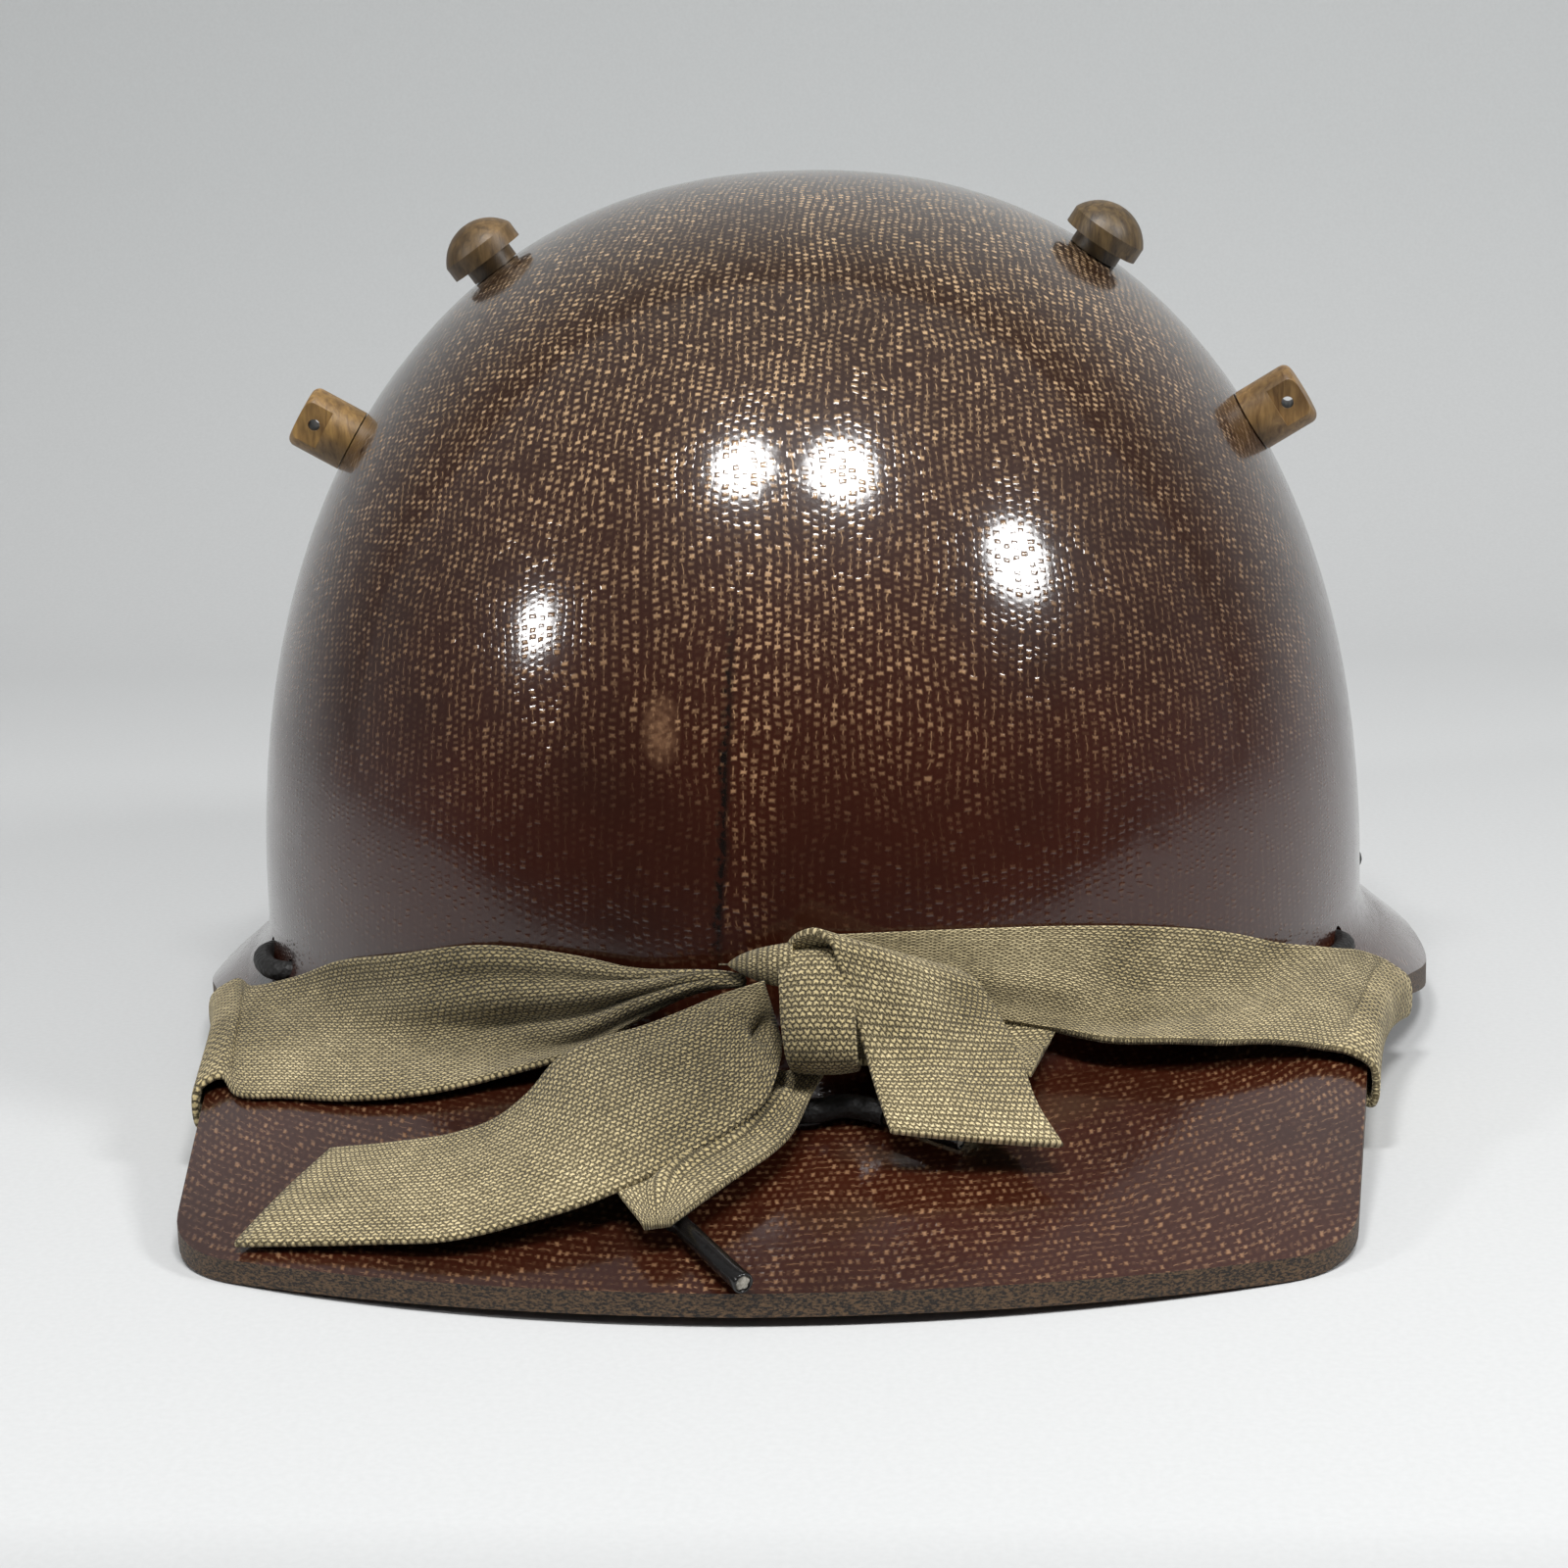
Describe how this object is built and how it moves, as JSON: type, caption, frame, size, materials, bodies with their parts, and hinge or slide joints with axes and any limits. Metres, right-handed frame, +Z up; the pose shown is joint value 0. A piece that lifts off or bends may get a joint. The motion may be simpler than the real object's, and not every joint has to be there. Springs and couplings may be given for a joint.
{
  "type": "miner helmet",
  "caption": "Brown canvas-laminate miner's helmet with wooden vent plugs, a laced cradle and sweatband inside, and an elastic chin strap tied in front over the visor.",
  "frame": {"origin": "middle of the helmet's outline in plan, on the surface that the brim stands on", "axes": "+Z up to the crown, the visor faces -Y, +X towards the wearer's left"},
  "size_m": [0.2334, 0.3193, 0.1586],
  "materials": {
    "laminate": "glossy lacquered canvas laminate",
    "wood": "satin",
    "elastic_webbing": "woven",
    "cotton_webbing": "woven",
    "leather": "worn",
    "black_lace": "braided",
    "aglet": "glossy"
  },
  "bodies": {
    "helmet": {"shell": "laminate", "headband": "cotton_webbing", "sweatband": "leather", "crown_cord": "black_lace", "lace_run": "black_lace", "lace_end_left": "black_lace", "lace_end_right": "black_lace", "aglet_left": "aglet", "aglet_right": "aglet", "strap_knot": "elastic_webbing", "strap_band_left": "elastic_webbing", "strap_band_right": "elastic_webbing", "strap_tail_left": "elastic_webbing", "strap_tail_right": "elastic_webbing", "strap_loop_low": "elastic_webbing", "strap_fold_right": "elastic_webbing", "cradle_tape_1": "cotton_webbing", "cradle_tape_2": "cotton_webbing", "cradle_tape_3": "cotton_webbing", "cradle_tape_4": "cotton_webbing", "cradle_tape_5": "cotton_webbing", "cradle_tape_6": "cotton_webbing", "cradle_tape_7": "cotton_webbing", "cradle_tape_8": "cotton_webbing"},
    "plug_upper_left": {"plug_upper_left": "wood"},
    "plug_upper_right": {"plug_upper_right": "wood"},
    "plug_lower_left": {"plug_lower_left": "wood"},
    "plug_lower_right": {"plug_lower_right": "wood"}
  },
  "joints": [
    {"name": "plug_upper_left_slide", "type": "slide", "parent": "helmet", "child": "plug_upper_left", "axis": [-0.5605, -0.1066, 0.8212], "range_m": [0, 0.018]},
    {"name": "plug_upper_right_slide", "type": "slide", "parent": "helmet", "child": "plug_upper_right", "axis": [0.5605, -0.1066, 0.8212], "range_m": [0, 0.018]},
    {"name": "plug_lower_left_slide", "type": "slide", "parent": "helmet", "child": "plug_lower_left", "axis": [-0.8526, -0.1095, 0.511], "range_m": [0, 0.018]},
    {"name": "plug_lower_right_slide", "type": "slide", "parent": "helmet", "child": "plug_lower_right", "axis": [0.8526, -0.1095, 0.511], "range_m": [0, 0.018]}
  ]
}
